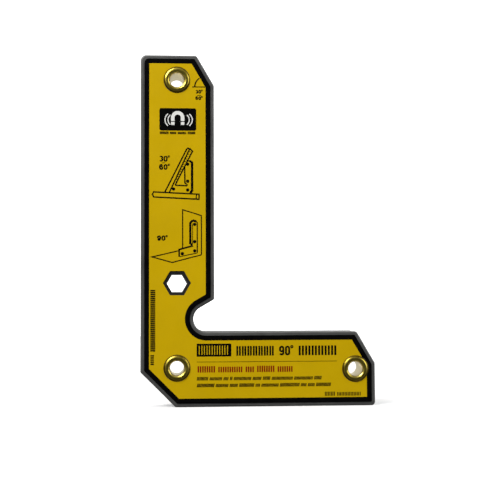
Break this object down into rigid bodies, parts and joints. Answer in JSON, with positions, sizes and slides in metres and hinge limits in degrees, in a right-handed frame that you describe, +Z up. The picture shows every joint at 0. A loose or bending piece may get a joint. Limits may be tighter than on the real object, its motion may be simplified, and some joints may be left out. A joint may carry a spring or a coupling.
{
  "type": "welding magnet holder",
  "caption": "L-shaped inside-outside square welding magnet: two steel pole plates riveted over a core of ceramic magnets, with slanted ends and a hexagonal socket.",
  "frame": {"origin": "centre of the bounding box's underside, on the plane the sole of the foot stands on, midway between the two plates", "axes": "+X from the heel to the toe of the foot, +Y from the front face to the rear face, +Z up the arm"},
  "size_m": [0.1016, 0.0178, 0.1524],
  "materials": {
    "pole_steel": "satin",
    "core_plastic": "matte",
    "label_film": "satin",
    "label_ink": "satin",
    "label_ink_red": "satin",
    "label_ink_white": "satin",
    "eyelet_brass": "satin",
    "spacer_aluminium": "satin",
    "sleeve_steel": "satin",
    "magnet_ceramic": "matte"
  },
  "bodies": {
    "root": {"front_pole_plate": "pole_steel", "rear_pole_plate": "pole_steel", "core_frame": "core_plastic", "front_label": "label_film", "rear_label": "label_film", "hex_sleeve": "sleeve_steel", "top_eyelet": "eyelet_brass", "corner_eyelet": "eyelet_brass", "toe_eyelet": "eyelet_brass", "top_spacer_tube": "spacer_aluminium", "corner_spacer_tube": "spacer_aluminium", "toe_spacer_tube": "spacer_aluminium", "arm_magnet_lower": "magnet_ceramic", "arm_magnet_middle": "magnet_ceramic", "arm_magnet_upper": "magnet_ceramic", "foot_magnet_inner": "magnet_ceramic", "foot_magnet_middle": "magnet_ceramic", "foot_magnet_outer": "magnet_ceramic", "heel_magnet": "magnet_ceramic"}
  },
  "joints": []
}
